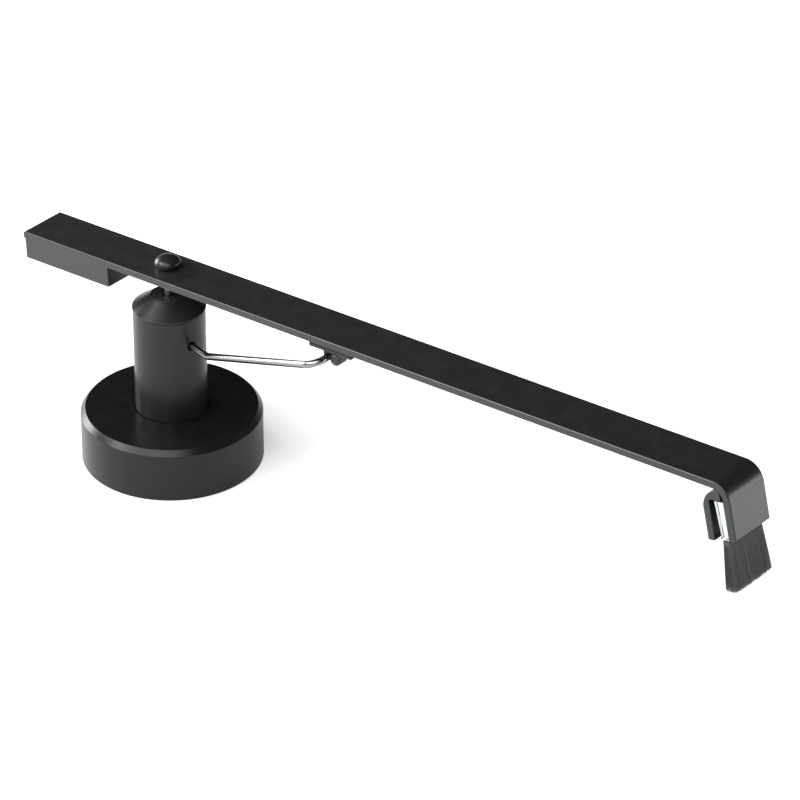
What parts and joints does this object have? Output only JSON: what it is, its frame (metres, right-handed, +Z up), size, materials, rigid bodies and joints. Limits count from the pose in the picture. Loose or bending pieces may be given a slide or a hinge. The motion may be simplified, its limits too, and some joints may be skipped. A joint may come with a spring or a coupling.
{
  "type": "record cleaning arm",
  "caption": "Balanced flat bar with a hanging brush at its bent front end and a block under its rear, pivoting on a post in a round weighted base, with a bent wire rest.",
  "frame": {"origin": "centre of the underside of the foot, on the axis of the post", "axes": "+Z up along the post, +X along the parked bar towards the brush, -Y towards the side on which the rest wire stands"},
  "size_m": [0.2428, 0.05, 0.0694],
  "materials": {
    "black_anodised": "satin black anodised",
    "black_coated_steel": "satin black coat",
    "bright_steel": "polished",
    "blackened_steel": "blackened",
    "chrome_plate": "bright plated",
    "bearing_bronze": "turned",
    "black_polymer": "matt",
    "black_rubber": "matt",
    "adhesive_foam": "matt",
    "dark_hair": "soft fibre"
  },
  "bodies": {
    "base": {"foot_pad": "black_rubber", "base_weight": "black_coated_steel", "height_lock_screw": "blackened_steel"},
    "column": {"column": "black_anodised", "column_cap": "black_anodised", "upper_bush": "black_polymer", "lower_bush": "bearing_bronze", "thrust_plug": "bearing_bronze", "thrust_ball": "bright_steel", "rest_wire": "bright_steel", "rest_lock_screw": "blackened_steel"},
    "spindle": {"spindle": "bright_steel", "spindle_clip": "blackened_steel", "cross_pin": "bright_steel"},
    "arm": {"arm_bar": "black_anodised", "dome_nut": "black_anodised", "pivot_ring_nut": "blackened_steel", "counterweight": "black_coated_steel", "counterweight_tape": "adhesive_foam", "rest_pad": "adhesive_foam", "rest_clip": "black_polymer", "brush_clip": "black_anodised", "brush_clamp_screw": "blackened_steel", "brush_ferrule": "chrome_plate", "brush_core": "black_polymer", "brush_bristles": "dark_hair"}
  },
  "joints": [
    {"name": "column_height", "type": "slide", "parent": "base", "child": "column", "axis": [0, 0, 1], "range_m": [0, 0.006]},
    {"name": "arm_swing", "type": "hinge", "parent": "column", "child": "spindle", "pos_m": [0, 0, 0.03], "axis": [0, 0, 1], "range_deg": [0, 145]},
    {"name": "arm_lift", "type": "hinge", "parent": "spindle", "child": "arm", "pos_m": [0, 0, 0.06], "axis": [0, -1, 0], "range_deg": [0, 15]}
  ]
}
